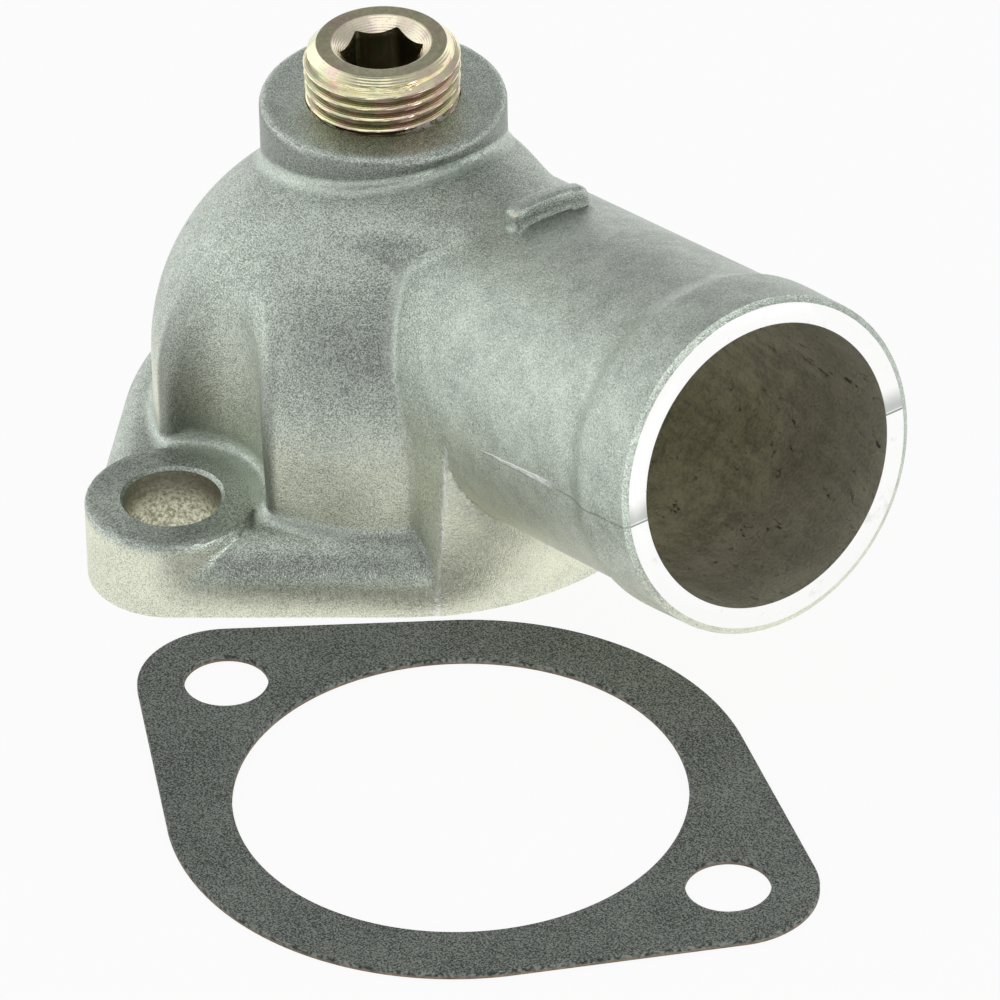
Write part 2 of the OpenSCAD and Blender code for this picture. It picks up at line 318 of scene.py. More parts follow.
class Net:
    """Adds nodes to a shader or geometry tree."""

    def __init__(self, tree):
        self.tree = tree

    def node(self, kind, settings=None, values=None, out=0):
        """Adds a node, sets its settings and then its sockets, and gives one output, or all for None."""
        made = self.tree.nodes.new(kind)
        for key, value in (settings or {}).items():
            setattr(made, key, value)
        for key, value in (values or {}).items():
            if isinstance(value, Wire):
                self.tree.links.new(value.socket, made.inputs[key])
            else:
                made.inputs[key].default_value = value
        if out is None:
            return [Wire(self, socket) for socket in made.outputs]
        return Wire(self, made.outputs[out]) if len(made.outputs) else made

    def mix(self, factor, first, second):
        """A colour between two colours."""
        first = first if isinstance(first, Wire) else (*first, 1.0)
        second = second if isinstance(second, Wire) else (*second, 1.0)
        return self.node("ShaderNodeMix", {"data_type": "RGBA"}, {0: factor, 6: first, 7: second}, 2)

    def noise(self, vector, scale, detail=2.0, roughness=0.5, distortion=0.0):
        values = {"Vector": vector, "Scale": scale, "Detail": detail, "Roughness": roughness,
                  "Distortion": distortion}
        return self.node("ShaderNodeTexNoise", None, values)

    def spots(self, vector, scale, out="Distance"):
        return self.node("ShaderNodeTexVoronoi", {"feature": "F1"}, {"Vector": vector, "Scale": scale}, out)

    def split(self, vector):
        return self.node("ShaderNodeSeparateXYZ", None, {0: vector}, None)

    def layer(self, name):
        """A value that the mesh holds at its points."""
        return self.node("ShaderNodeAttribute", {"attribute_name": name}, None, "Fac")

    def stretch(self, vector, scale, turn=(0.0, 0.0, 0.0)):
        return self.node("ShaderNodeMapping", None, {"Vector": vector, "Scale": scale, "Rotation": turn})

    def bump(self, height, strength, distance):
        values = {"Strength": strength, "Distance": distance, "Height": height}
        return self.node("ShaderNodeBump", None, values)


def span(a, b):
    """Length of a vector from two of its parts, for shader wires."""
    return (a * a + b * b) ** 0.5


def ripple(away, pitch):
    """Fine ripples at even steps of a distance."""
    return (away * (FULL_TURN / pitch)).math("SINE")


def cleared(owner):
    """Empties the node tree of a new material or world and gives its net."""
    owner.use_nodes = True
    owner.node_tree.nodes.clear()
    return Net(owner.node_tree)


def shaded(name, paint):
    """Makes a material whose paint function gives the values of its Principled shader's sockets."""
    material = bpy.data.materials.new(name)
    net = cleared(material)
    spot = net.node("ShaderNodeTexCoord", None, None, "Object")
    surface = net.node("ShaderNodeBsdfPrincipled", None, paint(net, spot))
    net.node("ShaderNodeOutputMaterial", None, {"Surface": surface})
    return material


def spigot_place(x, y, z, sizes):
    """Sideways, upward and lengthwise place on the spigot, for shader wires or arrays."""
    lifted = z - sizes.spigot_z
    up = y * math.sin(TILT) + lifted * math.cos(TILT)
    along = lifted * math.sin(TILT) - y * math.cos(TILT)
    return x - SPIGOT_X, up, along


def cast_painted_shade(x, y, z, patch, hollow, recess, level, bay):
    """Painted shade on the casting in corners, round the boss's foot and on the reliefs' flanks."""
    uneven = patch - 0.5
    # Painted shade in recesses, weaker in concave fillets and on upward faces.
    corner = recess.rise(0.10, 0.62) * (0.52 + uneven * 0.3)
    corner = corner * (1.0 - hollow * 0.85) * (1.0 - level.rise(0.75, 0.97) * 0.6)
    # Painted shade round the foot of the boss.
    collar_shade = span(x - PLUG_CENTRE[0], y - PLUG_CENTRE[1]).rise(16.0 * MM, 14.6 * MM)
    collar_shade = collar_shade * z.rise(34.5 * MM, 37.0 * MM) * level.rise(0.62, 0.22)
    collar_shade = collar_shade * (1.0 - hollow * 0.9) * (0.52 + uneven * 0.4)
    # Painted shade on the reliefs' flanks above the pads.
    flank_shade = bay * abs(y).rise(2.5 * MM, 8.0 * MM) * z.rise(36.0 * MM, 14.0 * MM)
    flank_shade = flank_shade * (1.0 - hollow * 0.7) * (0.62 + uneven * 0.4)
    return corner.most(collar_shade).most(flank_shade)


def dressed_metal(x, y, z, sizes, wander, grain):
    """Where the flash on the skirt's corner and the seam along the spigot were dressed bright."""
    across, up, along = spigot_place(x, y, z, sizes)
    off_x = x - (SPIGOT_X - sizes.spigot_r + sizes.skirt_inset) + wander
    off_r = span(x, y - sizes.flange_y) - sizes.flange_r - z * sizes.skirt_lean
    flash = span(off_x, off_r).rise(0.32 * MM, 0.08 * MM)
    flash = flash * z.rise(24.5 * MM, 22.5 * MM) * y.rise(-15.0 * MM, -20.0 * MM) * (0.10 + grain)
    wide = (along - 31.5 * MM) * 0.034
    seam = (abs(up + wander) / wide).rise(1.0, 0.5) * across.rise(-16.0 * MM, -17.2 * MM)
    seam = seam * along.rise(32.5 * MM, 34.0 * MM) * along.rise(48.0 * MM, 45.5 * MM)
    return flash.most(seam * (0.35 + grain * 0.9))


def cast_finish(sizes, tone):
    """Blasted cast aluminium with grain, pits, a parting flash and rubbed edges, with painted shade in
    corners, a painted highlight in concave fillets and painted floor light on low faces.
    """

    def paint(net, spot):
        x, y, z = net.split(spot)
        across, up, along = spigot_place(x, y, z, sizes)
        cloud = net.noise(spot, 95.0, 4.0, 0.6)
        patch = net.noise(spot, 420.0, 3.0, 0.6)
        grain = net.noise(spot, 1900.0, 2.0, 0.6)
        fleck = net.noise(spot, 6400.0, 1.0, 0.6)
        edge = net.layer("edge")
        level = net.layer("level")
        bay = span(abs(x) - sizes.bolt_half, y).rise(12.5 * MM, 11.2 * MM) * z.rise(8.8 * MM, 10.0 * MM)
        # Painted light from the floor: low faces that look down or sideways, less so on the reliefs.
        low = z.rise(34.0 * MM, 8.0 * MM) * level.rise(0.40, -0.15) * (1.0 - bay * 0.35)
        speckle = (grain - 0.5) * 0.35 + (fleck - 0.5) * 1.6
        speckle = speckle * (1.7 - along.rise(12.0 * MM, 30.0 * MM) * 0.8)
        tint = 0.50 + (cloud - 0.5) * 0.5 + (patch - 0.5) * 0.5 + speckle
        base = net.mix(tint.rise(0.0, 1.0), tone.cast_dark, tone.cast_pale)
        base = net.mix(low * (0.40 + tint * 0.60), base, tone.cast_warm)
        hollow = edge.rise(-0.14, -0.50) * y.rise(-18.5 * MM, -16.5 * MM)
        # Painted shade: corners, the boss's foot and the reliefs' flanks darkened toward the pit tone.
        painted_shade = cast_painted_shade(x, y, z, patch, hollow, net.layer("recess"), level, bay)
        base = net.mix(painted_shade, base, tone.cast_pit)
        # Painted highlight: concave fillets lightened toward the pale tone.
        base = net.mix(hollow * 0.35, base, tone.cast_pale)
        chance = net.node("ShaderNodeSeparateColor", None, {0: net.spots(spot, 170.0, "Color")})
        pit = net.spots(spot, 170.0).rise(0.075, 0.035) * chance.rise(0.90, 0.92)
        base = net.mix(pit * 0.8, base, tone.cast_pit)
        rubbed = edge.rise(0.45, 1.0) * (0.1 + patch * 0.8)
        base = net.mix(rubbed * 0.2, base, tone.machined)
        wander = (patch - 0.5) * 0.5 * MM
        bare = dressed_metal(x, y, z, sizes, wander, grain)
        base = net.mix(bare * 0.85, base, tone.machined)
        joint = abs(up + 0.12 * MM + wander).rise(0.2 * MM, 0.05 * MM) * across.rise(-16.0 * MM, -17.2 * MM)
        base = net.mix(joint * along.rise(47.0 * MM, 50.0 * MM) * 0.4, base, tone.cast_pit)
        rough = 0.39 + (grain - 0.5) * 0.25 + (cloud - 0.5) * 0.1 - rubbed * 0.05 - bare * 0.04
        relief = grain * 0.9 + fleck * 0.9 + patch * 0.4 - pit * 1.5 + bare * 1.2
        normal = net.bump(relief, 1.0, 0.065 * MM)
        return {"Base Color": base, "Metallic": 1.0, "Roughness": rough, "Normal": normal}

    return shaded("cast_aluminium", paint)


def machined_finish(sizes, tone):
    """Bare metal faced on a lathe, with fine rings and a few dull spots."""

    def paint(net, spot):
        across, up, along = spigot_place(*net.split(spot), sizes)
        ring = ripple(span(across, up), 0.16 * MM)
        patch = net.noise(spot, 260.0, 3.0, 0.6)
        fine = net.noise(spot, 2200.0, 2.0)
        step = up.rise(-0.05 * MM, 0.15 * MM) * up.rise(2.9 * MM, 0.4 * MM)
        step = step * (0.55 + patch * 0.7) * along.rise(60.0 * MM, 61.0 * MM)
        line = abs(up + 0.15 * MM).rise(0.16 * MM, 0.05 * MM)
        dull = patch.rise(0.60, 0.78) * 0.3 + fine.rise(0.68, 0.80) * 0.35
        dull = dull.most(step * 0.75).most(line)
        base = net.mix(dull, tone.machined, tone.cast_dark)
        rough = 0.22 + dull * 0.25 + ring * 0.02
        normal = net.bump(ring * 0.5 + fine, 0.15, 0.02 * MM)
        return {"Base Color": base, "Metallic": 1.0, "Roughness": rough, "Normal": normal}

    return shaded("machined_face", paint)


def milled_finish(tone):
    """Flat cutter marks of the mating face and its seat."""

    def paint(net, spot):
        x, y = net.split(spot)[:2]
        arc = ripple(span(x - 60.0 * MM, y), 0.7 * MM)
        patch = net.noise(spot, 180.0, 3.0)
        fine = net.noise(spot, 1800.0, 2.0)
        base = net.mix((arc * 0.2 + patch * 0.6 + fine * 0.3).rise(0.2, 0.8), tone.cast_dark, tone.machined)
        rough = 0.36 + (patch - 0.5) * 0.2 + arc * 0.04
        normal = net.bump(arc * 0.6 + fine * 0.5, 0.3, 0.04 * MM)
        return {"Base Color": base, "Metallic": 1.0, "Roughness": rough, "Normal": normal}

    return shaded("milled_face", paint)


def cored_finish(sizes, tone):
    """Rough cored passage, dulled brown by coolant, with pits, streaks and streaky painted light deep
    inside.
    """

    def paint(net, spot):
        across, up, along = spigot_place(*net.split(spot), sizes)
        cloud = net.noise(spot, 150.0, 4.0, 0.65)
        blotch = net.noise(spot, 520.0, 4.0, 0.65)
        grain = net.noise(spot, 2600.0, 2.0, 0.7)
        streak = net.noise(net.stretch(spot, (900.0, 130.0, 900.0)), 1.0, 3.0, 0.6)
        pits = net.noise(net.stretch(spot, (1100.0, 450.0, 1100.0)), 1.0, 4.0, 0.7, 0.3).rise(0.59, 0.72)
        tint = (cloud * 0.5 + blotch * 0.5 + streak * 0.35 + grain * 0.6 - 0.48).rise(0.22, 0.76)
        base = net.mix(tint, tone.bore_dark, tone.bore_pale)
        stain = along.rise(34.0 * MM, 58.0 * MM) * (0.55 + blotch * 0.5)
        base = net.mix(stain * 0.75, base, tone.bore_stain)
        # Painted light deep in the passage, kept off the wall low on its +X side.
        lit_patch = along.rise(46.0 * MM, 28.0 * MM) * (across - up).rise(24.0 * MM, 12.0 * MM)
        base = net.mix(lit_patch * streak.rise(0.30, 0.60) * 0.85, base, tone.bore_worn)
        spotted = pits * cloud.rise(0.42, 0.58)
        base = net.mix(spotted * 0.85, base, tone.bore_pit)
        base = net.mix(grain.rise(0.60, 0.76) * 0.5, base, tone.bore_grain)
        rough = 0.56 + (grain - 0.5) * 0.3
        normal = net.bump(blotch + grain * 0.6 + streak * 0.5 - spotted * 1.2, 0.8, 0.3 * MM)
        return {"Base Color": base, "Metallic": 0.0, "Roughness": rough, "Normal": normal}

    return shaded("cored_passage", paint)


def drilled_finish(tone):
    """Wall of a drilled bolt hole, brown with age, with painted shade towards its top."""

    def paint(net, spot):
        score = net.noise(net.stretch(spot, (120.0, 120.0, 2600.0)), 1.0, 2.0)
        cloud = net.noise(spot, 260.0, 4.0, 0.6)
        grain = net.noise(spot, 2200.0, 2.0, 0.7)
        tint = (cloud * 0.35 + grain * 1.1 + score * 0.2 - 0.32).rise(0.30, 0.70)
        base = net.mix(tint, tone.hole_dark, tone.hole_pale)
        # Painted shade: the wall darkens towards the top of the hole.
        top_shade = net.split(spot)[2].rise(3.5 * MM, 8.0 * MM) * (0.6 + cloud * 0.5)
        base = net.mix(top_shade, base, tone.hole_top)
        rough = 0.45 + (grain - 0.5) * 0.25
        normal = net.bump(score * 0.4 + grain, 0.7, 0.12 * MM)
        return {"Base Color": base, "Metallic": 0.8, "Roughness": rough, "Normal": normal}

    return shaded("drilled_wall", paint)


def zinc_finish(boss_top, sizes, tone):
    """Yellow zinc plate with a pink and green bloom, with painted shade in the thread's valleys and deep in
    the socket.
    """

    def paint(net, spot):
        x, y, z = net.split(spot)
        off_x = x - PLUG_CENTRE[0]
        off_y = y - PLUG_CENTRE[1]
        away = span(off_x, off_y)
        depth = PLUG_HI[2] - z
        valley = (PLUG_R - depth * sizes.taper - away).rise(0.15 * MM, 0.75 * MM)
        valley = valley * depth.rise(sizes.chamfer * 0.9, sizes.chamfer * 1.3)
        bloom = net.noise(spot, 330.0, 2.0, 0.5, 0.8)
        shift = net.noise(spot, 210.0, 2.0, 0.5, 0.6)
        fine = net.noise(spot, 2400.0, 2.0)
        base = net.mix(bloom.rise(0.46, 0.64), tone.zinc, tone.zinc_pink)
        base = net.mix(shift.rise(0.52, 0.68) * 0.8, base, tone.zinc_green)
        # Painted shade in the thread's valleys, tinted by the bloom.
        valley_shade = net.mix(bloom.rise(0.44, 0.60), tone.zinc_valley, tone.zinc_blush)
        base = net.mix(valley * 0.8, base, valley_shade)
        face = depth.rise(0.06 * MM, 0.02 * MM)
        face = face * away.rise(sizes.mouth_r - 0.05 * MM, sizes.mouth_r + 0.15 * MM)
        base = net.mix(face * (0.45 + fine * 0.5), base, tone.zinc_face)
        inside = away.rise(sizes.mouth_r + 0.1 * MM, sizes.mouth_r - 0.2 * MM)
        base = net.mix(inside * depth.rise(2.2 * MM, 1.2 * MM) * 0.5, base, tone.zinc_mouth)
        # Painted shade deeper in the socket.
        base = net.mix(inside * depth.rise(1.2 * MM, 2.6 * MM) * 0.6, base, tone.zinc_socket)
        dusty = fine.rise(0.55, 0.80) * 0.35
        base = net.mix(dusty, base, tone.zinc_dust)
        foot = z.rise(boss_top + 0.7 * MM, boss_top + 0.3 * MM)
        foot = foot * (off_x - off_y * 0.4).rise(-1.0 * MM, 4.0 * MM)
        sealant = foot * net.noise(spot, 900.0, 3.0).rise(0.50, 0.56)
        base = net.mix(sealant, base, tone.sealant)
        rough = 0.17 + valley * 0.12 + dusty * 0.25 + face * 0.2 + (bloom - 0.5) * 0.1 + sealant * 0.4
        normal = net.bump(ripple(away, 0.22 * MM) * 0.35 + fine * 0.8 + sealant, 0.3, 0.05 * MM)
        return {"Base Color": base, "Metallic": 1.0 - sealant, "Roughness": rough, "Normal": normal}

    return shaded("yellow_zinc", paint)


def paper_finish(tone):
    """Matt gasket paper with a fine fibre speckle."""

    def paint(net, spot):
        cloud = net.noise(spot, 120.0, 3.0)
        fleck = net.noise(spot, 4800.0, 2.0, 0.7)
        fibre = net.noise(net.stretch(spot, (3600.0, 1100.0, 1100.0), (0.0, 0.0, 0.5)), 1.0, 2.0)
        tint = (fleck * 1.1 + fibre * 0.25 + cloud * 0.12 - 0.25).rise(0.35, 0.63)
        base = net.mix(tint, tone.paper_dark, tone.paper_pale)
        base = net.mix(fleck.rise(0.66, 0.76) * 0.3, base, tone.paper_fleck)
        rough = 0.78 + (fleck - 0.5) * 0.2
        normal = net.bump(fleck + fibre * 0.6, 0.35, 0.08 * MM)
        return {"Base Color": base, "Roughness": rough, "Normal": normal, "Specular IOR Level": 0.3}

    return shaded("gasket_paper", paint)


def paper_edge_finish(tone):
    """Fibrous cut edge of the gasket, brown below and grey like the paper above."""

    def paint(net, spot):
        layer = net.noise(net.stretch(spot, (900.0, 900.0, 5200.0)), 1.0, 3.0, 0.6)
        fleck = net.noise(spot, 2200.0, 2.0)
        base = net.mix((layer * 0.7 + fleck * 0.4).rise(0.3, 0.8), tone.paper_core, tone.paper_edge)
        top = net.split(spot)[2].rise(0.28 * MM, 0.45 * MM)
        base = net.mix(top, base, net.mix(fleck.rise(0.35, 0.65), tone.paper_dark, tone.paper_pale))
        rough = 0.9 - fleck * 0.15
        normal = net.bump(layer + fleck, 0.4, 0.08 * MM)
        return {"Base Color": base, "Roughness": rough, "Normal": normal, "Specular IOR Level": 0.3}

    return shaded("gasket_edge", paint)


def soft_join(a, b, r):
    """Union of two fields with a round fillet."""
    return np.maximum(r, np.minimum(a, b)) - np.hypot(np.maximum(r - a, 0.0), np.maximum(r - b, 0.0))


def soft_meet(a, b, r):
    """Intersection of two fields with a rounded edge."""
    return np.minimum(-r, np.maximum(a, b)) + np.hypot(np.maximum(r + a, 0.0), np.maximum(r + b, 0.0))


def outline_gap(x, y, sizes):
    """Distance in plan to the flange's two-lobe outline, less than zero inside it."""
    best = None
    for side in SIDES:
        run = np.array([side * sizes.bolt_half, -sizes.flange_y])
        away = float(np.hypot(*run))
        along = (x * run[0] + (y - sizes.flange_y) * run[1]) / away
        across = np.abs(x * run[1] - (y - sizes.flange_y) * run[0]) / away
        lean = (sizes.flange_r - sizes.lobe_r) / away
        rise = math.sqrt(1.0 - lean * lean)
        foot = along * rise - across * lean
        rim = np.hypot(across, along) - sizes.flange_r
        lobe = np.hypot(across, along - away) - sizes.lobe_r
        line = across * rise + along * lean - sizes.flange_r
        gap = np.where(foot < 0.0, rim, np.where(foot > rise * away, lobe, line))
        best = gap if best is None else np.minimum(best, gap)
    return best


def eased(low, high, values):
    """Smooth step of an array from zero to one."""
    share = np.clip((values - low) / (high - low), 0.0, 1.0)
    return share * share * (3.0 - 2.0 * share)


def cast_field(points, sizes):
    """Distance from points to the outside of the casting, with the mould's fillets."""
    x, y, z = points.T
    gap = outline_gap(x, y, sizes)
    rim = soft_meet(gap, z - sizes.rim_h, sizes.rim_round)
    dome_away = np.hypot(x - sizes.dome_x, y - sizes.dome_y)
    dome = np.hypot(dome_away, np.maximum(z - sizes.dome_spring, 0.0)) - sizes.dome_r
    pads = None
    for side in SIDES:
        bolt = np.hypot(x - side * sizes.bolt_half, y)
        drawn = sizes.relief_r - sizes.relief_draft * np.maximum(z - sizes.pad_h, 0.0)
        relief = soft_meet(bolt - drawn, sizes.pad_h - z, sizes.relief_foot)
        dome = soft_meet(dome, -relief, sizes.relief_edge)
        pad = soft_meet(bolt - sizes.lobe_r, z - sizes.pad_h, sizes.pad_round)
        pads = pad if pads is None else np.minimum(pads, pad)
    across, up, along = spigot_place(x, y, z, sizes)
    radial = np.hypot(across, up)
    crest = SPIGOT_REACH - sizes.bead_end
    flat = crest - BEAD_LENGTH
    outside = sizes.spigot_r + (BEAD_R - sizes.spigot_r) * eased(flat - sizes.bead_ramp, flat, along)
    outside = outside - sizes.end_drop * np.clip((along - crest) / sizes.bead_end, 0.0, 1.0)
    pipe = np.maximum(radial - outside, -along)
    side_gap = np.abs(across - sizes.stop_x) - sizes.stop_w / 2.0
    end_gap = np.abs(along - sizes.stop_at - sizes.stop_t / 2.0) - sizes.stop_t / 2.0
    top_gap = radial - sizes.spigot_r - sizes.stop_h
    stop = soft_meet(soft_meet(side_gap, end_gap, 0.45 * MM), top_gap, 0.5 * MM)
    stop = np.maximum(stop, -up)
    pipe = soft_join(pipe, stop, 0.5 * MM)
    slab = np.abs(across) - (sizes.spigot_r - sizes.skirt_inset)
    front = np.hypot(x, y - sizes.flange_y) - sizes.flange_r - sizes.skirt_lean * np.maximum(z, 0.0)
    skirt = soft_meet(slab, front, 0.3 * MM)
    skirt = np.maximum(np.maximum(skirt, up), y)
    boss = np.hypot(x - PLUG_CENTRE[0], y - PLUG_CENTRE[1]) - sizes.boss_r
    boss = soft_meet(boss, z - sizes.boss_top, sizes.boss_round)
    boss = np.maximum(boss, sizes.spigot_z - z)
    lift = eased(0.68 * sizes.spigot_r, 0.98 * sizes.spigot_r, up)
    head = soft_join(dome, pipe, sizes.spigot_root + sizes.spigot_blend * lift)
    head = soft_join(head, boss, sizes.boss_foot)
    body = np.minimum(soft_join(rim, head, sizes.dome_foot), pads)
    body = np.maximum(body, gap)
    body = soft_join(body, skirt, sizes.skirt_fillet)
    return np.minimum(body, pipe)


def field_slope(field, points, reach):
    """Gradient of a field by central differences."""
    slope = np.empty_like(points)
    for axis in range(3):
        step = np.zeros(3)
        step[axis] = reach
        slope[:, axis] = (field(points + step) - field(points - step)) / (2.0 * reach)
    return slope


def skin(field, low, high, cell):
    """Quads of a field's zero surface, one vertex for each cell that it crosses."""
    counts = np.ceil((np.array(high) - low) / cell).astype(int) + 1
    axes = [low[i] + cell * np.arange(counts[i]) for i in range(3)]
    grid = np.stack(np.meshgrid(*axes, indexing="ij"), axis=-1).reshape(-1, 3)
    values = np.concatenate([field(part) for part in np.array_split(grid, 12)]).reshape(counts)
    inside = values < 0.0
    total = np.zeros((*(counts - 1), 3))
    hits = np.zeros(counts - 1)
    near = [slice(0, -1), slice(1, None)]
    for axis in range(3):
        others = [i for i in range(3) if i != axis]
        for first in (0, 1):
            for second in (0, 1):
                start = [None] * 3
                start[axis] = 0
                start[others[0]] = first
                start[others[1]] = second
                stop = list(start)
                stop[axis] = 1
                a = values[tuple(near[i] for i in start)]
                b = values[tuple(near[i] for i in stop)]
                crossed = (a < 0.0) != (b < 0.0)
                share = np.where(crossed, a / np.where(crossed, a - b, 1.0), 0.0)
                hits += crossed
                for i in range(3):
                    offset = share if i == axis else float(start[i])
                    total[..., i] += np.where(crossed, offset, 0.0)
    active = hits > 0
    index = np.full(active.shape, -1)
    index[active] = np.arange(active.sum())
    corner = np.argwhere(active)
    points = np.array(low) + cell * (corner + total[active] / hits[active][:, None])
    quads = []
    for axis in range(3):
        others = [(axis + 1) % 3, (axis + 2) % 3]
        lead = [slice(None)] * 3
        trail = [slice(None)] * 3
        lead[axis] = slice(0, -1)
        trail[axis] = slice(1, None)
        a = inside[tuple(lead)]
        b = inside[tuple(trail)]
        for wanted, flip in ((a & ~b, False), (~a & b, True)):
            at = np.argwhere(wanted)
            ring = []
            for first, second in ((-1, -1), (0, -1), (0, 0), (-1, 0)):
                cells = at.copy()
                cells[:, others[0]] += first
                cells[:, others[1]] += second
                ring.append(index[tuple(cells.T)])
            quad = np.stack(ring, axis=1)
            quads.append(quad[:, ::-1] if flip else quad)
    for _ in range(3):
        slope = field_slope(field, points, 0.05 * MM)
        pull = field(points) / np.maximum((slope * slope).sum(axis=1), 0.2)
        points = points - slope * np.clip(pull, -0.4 * cell, 0.4 * cell)[:, None]
    return points, np.concatenate(quads)


def mesh_of(name, points, faces):
    """A mesh from points and faces."""
    mesh = bpy.data.meshes.new(name)
    mesh.from_pydata([tuple(point) for point in points], [], [tuple(map(int, face)) for face in faces])
    mesh.validate()
    return mesh


def shown(name, mesh):
    """An object at the origin for a mesh."""
    made = bpy.data.objects.new(name, mesh)
    bpy.context.scene.collection.objects.link(made)
    return made


def removed(made):
    """Takes a working object and its mesh out of the file."""
    mesh = made.data
    bpy.data.objects.remove(made)
    bpy.data.meshes.remove(mesh)


def turned(name, profile, count, at=None):
    """A closed solid turned about Z from a list of radius and height pairs, bottom to top."""
    points = []
    faces = []
    for radius, height in profile:
        for i in range(count):
            around = FULL_TURN * i / count
            points.append((radius * math.cos(around), radius * math.sin(around), height))
    for row in range(len(profile) - 1):
        for i in range(count):
            j = (i + 1) % count
            faces.append((row * count + i, row * count + j, (row + 1) * count + j, (row + 1) * count + i))
    faces.append(tuple(range(count - 1, -1, -1)))
    faces.append(tuple(range((len(profile) - 1) * count, len(profile) * count)))
    mesh = mesh_of(name, points, faces)
    mesh.transform(at or Matrix.Identity(4))
    return shown(name, mesh)


def block(name, low, high, at=None):
    """A box between two corners."""
    made = bmesh.new()
    bmesh.ops.create_cube(made, size=1.0)
    size = Vector(high) - Vector(low)
    middle = Matrix.Translation((Vector(high) + Vector(low)) / 2.0)
    bmesh.ops.transform(made, matrix=middle @ Matrix.Diagonal((*size, 1.0)), verts=made.verts)
    mesh = bpy.data.meshes.new(name)
    made.to_mesh(mesh)
    made.free()
    mesh.transform(at or Matrix.Identity(4))
    return shown(name, mesh)


def cut_away(body, tools):
    """Cuts solids out of a body and gives the result as a plain mesh."""
    for tool in tools:
        cut = body.modifiers.new(tool.name, "BOOLEAN")
        cut.operation = "DIFFERENCE"
        cut.solver = "MANIFOLD"
        cut.object = tool
    graph = bpy.context.evaluated_depsgraph_get()
    mesh = bpy.data.meshes.new_from_object(body.evaluated_get(graph))
    body.modifiers.clear()
    body.data = mesh
    for tool in tools:
        removed(tool)


def spigot_matrix(sizes):
    """Places a turned solid with its Z along the spigot's axis."""
    spot = Matrix.Translation((SPIGOT_X, 0.0, sizes.spigot_z))
    return spot @ Matrix.Rotation(math.pi / 2.0 - TILT, 4, "X")


def end_bevel(sizes, spigot):
    """Ring that cuts the as-cast chamfer round the spigot's end face."""
    foot = SPIGOT_REACH - sizes.end_slope
    ring = block("bevel", (-CLEAR, -CLEAR, foot), (CLEAR, CLEAR, SPIGOT_REACH + 10.0 * MM), spigot)
    lead_r = BEAD_R - sizes.end_drop
    face_r = lead_r - sizes.end_chamfer
    cone = [(2.0 * lead_r - face_r, SPIGOT_REACH - 2.0 * sizes.end_slope), (face_r, SPIGOT_REACH),
            (face_r, SPIGOT_REACH + 20.0 * MM)]
    cut_away(ring, [turned("end_cone", cone, 160, spigot)])
    return ring


def water_chamber(sizes):
    """Domed room under the dome, drawn in behind the reliefs."""
    profile = [(sizes.chamber_r, -1.0 * MM), (sizes.chamber_r, sizes.dome_spring)]
    steps = 16
    for i in range(1, steps):
        lift = math.radians(90.0 * i / steps)
        height = sizes.dome_spring + sizes.chamber_r * math.sin(lift)
        profile.append((sizes.chamber_r * math.cos(lift), height))
    room = turned("chamber", profile, 96, Matrix.Translation((sizes.dome_x, sizes.dome_y, 0.0)))
    kept_r = sizes.relief_r + sizes.relief_wall
    kept = [(kept_r, sizes.pad_h - sizes.relief_wall), (kept_r, ABOVE)]
    cut_away(room, [turned("kept", kept, 96, bolt_matrix(side, sizes)) for side in SIDES])
    return room


def bolt_matrix(side, sizes):
    """Places a turned solid on the axis of a bolt."""
    return Matrix.Translation((side * sizes.bolt_half, 0.0, 0.0))


def hollow_tools(sizes):
    """Solids of everything that is cut out of the casting."""
    spigot = spigot_matrix(sizes)
    wide = 100.0 * MM
    below = block("below", (-wide, -wide, -20.0 * MM), (wide, wide, 0.0))
    far_corner = (CLEAR, CLEAR, SPIGOT_REACH + 20.0 * MM)
    past = block("past_end", (-CLEAR, -CLEAR, SPIGOT_REACH), far_corner, spigot)
    bore = turned("bore", [(BORE_R, 0.0), (BORE_R, SPIGOT_REACH + 10.0 * MM)], 128, spigot)
    tools = [below, past, bore, end_bevel(sizes, spigot), water_chamber(sizes)]
    at = Matrix.Translation((0.0, sizes.flange_y, 0.0))
    tools.append(turned("seat", [(PORT_R, -1.0 * MM), (PORT_R, SEAT_H)], 128, at))
    wide_r = sizes.bolt_hole_r + sizes.bolt_chamfer
    hole = [(sizes.bolt_hole_r, -1.0 * MM), (sizes.bolt_hole_r, sizes.pad_h - sizes.bolt_chamfer),
            (wide_r + 1.0 * MM, sizes.pad_h + 1.0 * MM)]
    for side in SIDES:
        tools.append(turned("bolt_hole", hole, 96, bolt_matrix(side, sizes)))
    proud = PLUG_HI[2] - sizes.boss_top
    hole_r = PLUG_R - proud * PLUG_TAPER + 0.05 * MM
    at = Matrix.Translation((*PLUG_CENTRE, 0.0))
    tools.append(turned("plug_hole", [(hole_r, sizes.dome_spring), (hole_r, ABOVE)], 96, at))
    return tools


def evened(mesh, values, rounds):
    """Averages vertex values with their neighbours' a few times."""
    ends = np.empty(len(mesh.edges) * 2, dtype=np.int32)
    mesh.edges.foreach_get("vertices", ends)
    ends = ends.reshape(-1, 2)
    size = len(values)
    counts = np.bincount(ends.ravel(), minlength=size) + 1.0
    for _ in range(rounds):
        gathered = np.bincount(ends[:, 0], values[ends[:, 1]], size)
        gathered += np.bincount(ends[:, 1], values[ends[:, 0]], size)
        values = (values + gathered) / counts
    return values


